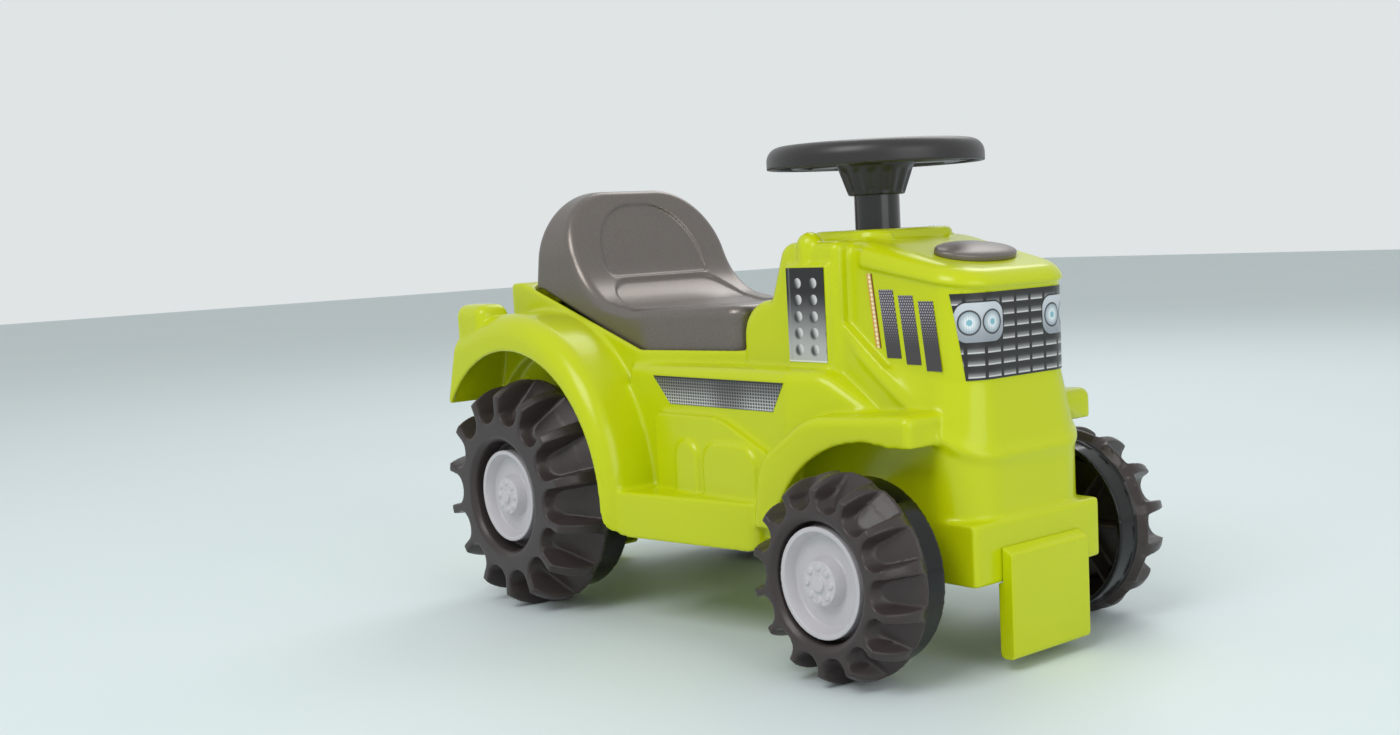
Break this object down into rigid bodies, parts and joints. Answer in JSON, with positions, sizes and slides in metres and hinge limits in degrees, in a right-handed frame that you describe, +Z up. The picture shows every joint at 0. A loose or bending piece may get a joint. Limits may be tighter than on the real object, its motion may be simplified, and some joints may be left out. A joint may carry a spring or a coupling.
{
  "type": "ride-on tractor toy",
  "caption": "Foot-pushed toddler's ride-on tractor: lugged wheels on fixed axles, a turning steering wheel, and a seat that tips forward over a storage well.",
  "frame": {"origin": "on the ground, under the middle of the toy's box", "axes": "+X forward, +Y to the tractor's left, +Z up"},
  "size_m": [0.515, 0.278, 0.325],
  "materials": {
    "lime_plastic": "moulded lime, glossy",
    "seat_plastic": "metallic grey, satin",
    "black_plastic": "near black, satin to gloss",
    "cap_plastic": "dark metallic grey",
    "tyre_plastic": "charcoal, satin",
    "hub_plastic": "light grey, satin",
    "printed_film": "printed film",
    "axle_steel": "bright zinc",
    "sleeve_plastic": "black, matte"
  },
  "bodies": {
    "chassis": {"body_shell": "lime_plastic", "front_stabiliser": "lime_plastic", "rear_stabiliser": "lime_plastic", "stabiliser_screws": "axle_steel", "bonnet_cap": "cap_plastic", "grille_label": "printed_film", "dash_label": "printed_film", "exhaust_label_left": "printed_film", "exhaust_label_right": "printed_film", "mesh_label_left": "printed_film", "mesh_label_right": "printed_film", "bonnet_slots_label_left": "printed_film", "bonnet_slots_label_right": "printed_film", "rear_axle": "axle_steel", "rear_spacer_sleeves": "sleeve_plastic", "rear_push_caps": "axle_steel", "front_axle": "axle_steel", "front_spacer_sleeves": "sleeve_plastic", "front_push_caps": "axle_steel"},
    "seat": {"seat": "seat_plastic"},
    "steering": {"steering_wheel": "black_plastic", "steering_column": "black_plastic", "steering_screw": "axle_steel", "column_push_nut": "axle_steel"},
    "rear_left": {"rear_left_wheel": "tyre_plastic", "rear_left_hub_cap": "hub_plastic"},
    "rear_right": {"rear_right_wheel": "tyre_plastic", "rear_right_hub_cap": "hub_plastic"},
    "front_left": {"front_left_wheel": "tyre_plastic", "front_left_hub_cap": "hub_plastic"},
    "front_right": {"front_right_wheel": "tyre_plastic", "front_right_hub_cap": "hub_plastic"}
  },
  "joints": [
    {"name": "seat_tip", "type": "hinge", "parent": "chassis", "child": "seat", "pos_m": [0.0295, 0, 0.206], "axis": [0, 1, 0], "range_deg": [0, 65]},
    {"name": "steering_turn", "type": "hinge", "parent": "chassis", "child": "steering", "pos_m": [0.1205, 0, 0.291], "axis": [0, 0, 1], "continuous": true},
    {"name": "rear_left_roll", "type": "hinge", "parent": "chassis", "child": "rear_left", "pos_m": [-0.1455, 0, 0.085], "axis": [0, 1, 0], "continuous": true},
    {"name": "rear_right_roll", "type": "hinge", "parent": "chassis", "child": "rear_right", "pos_m": [-0.1455, 0, 0.085], "axis": [0, 1, 0], "continuous": true},
    {"name": "front_left_roll", "type": "hinge", "parent": "chassis", "child": "front_left", "pos_m": [0.1895, 0, 0.064], "axis": [0, 1, 0], "continuous": true},
    {"name": "front_right_roll", "type": "hinge", "parent": "chassis", "child": "front_right", "pos_m": [0.1895, 0, 0.064], "axis": [0, 1, 0], "continuous": true}
  ]
}
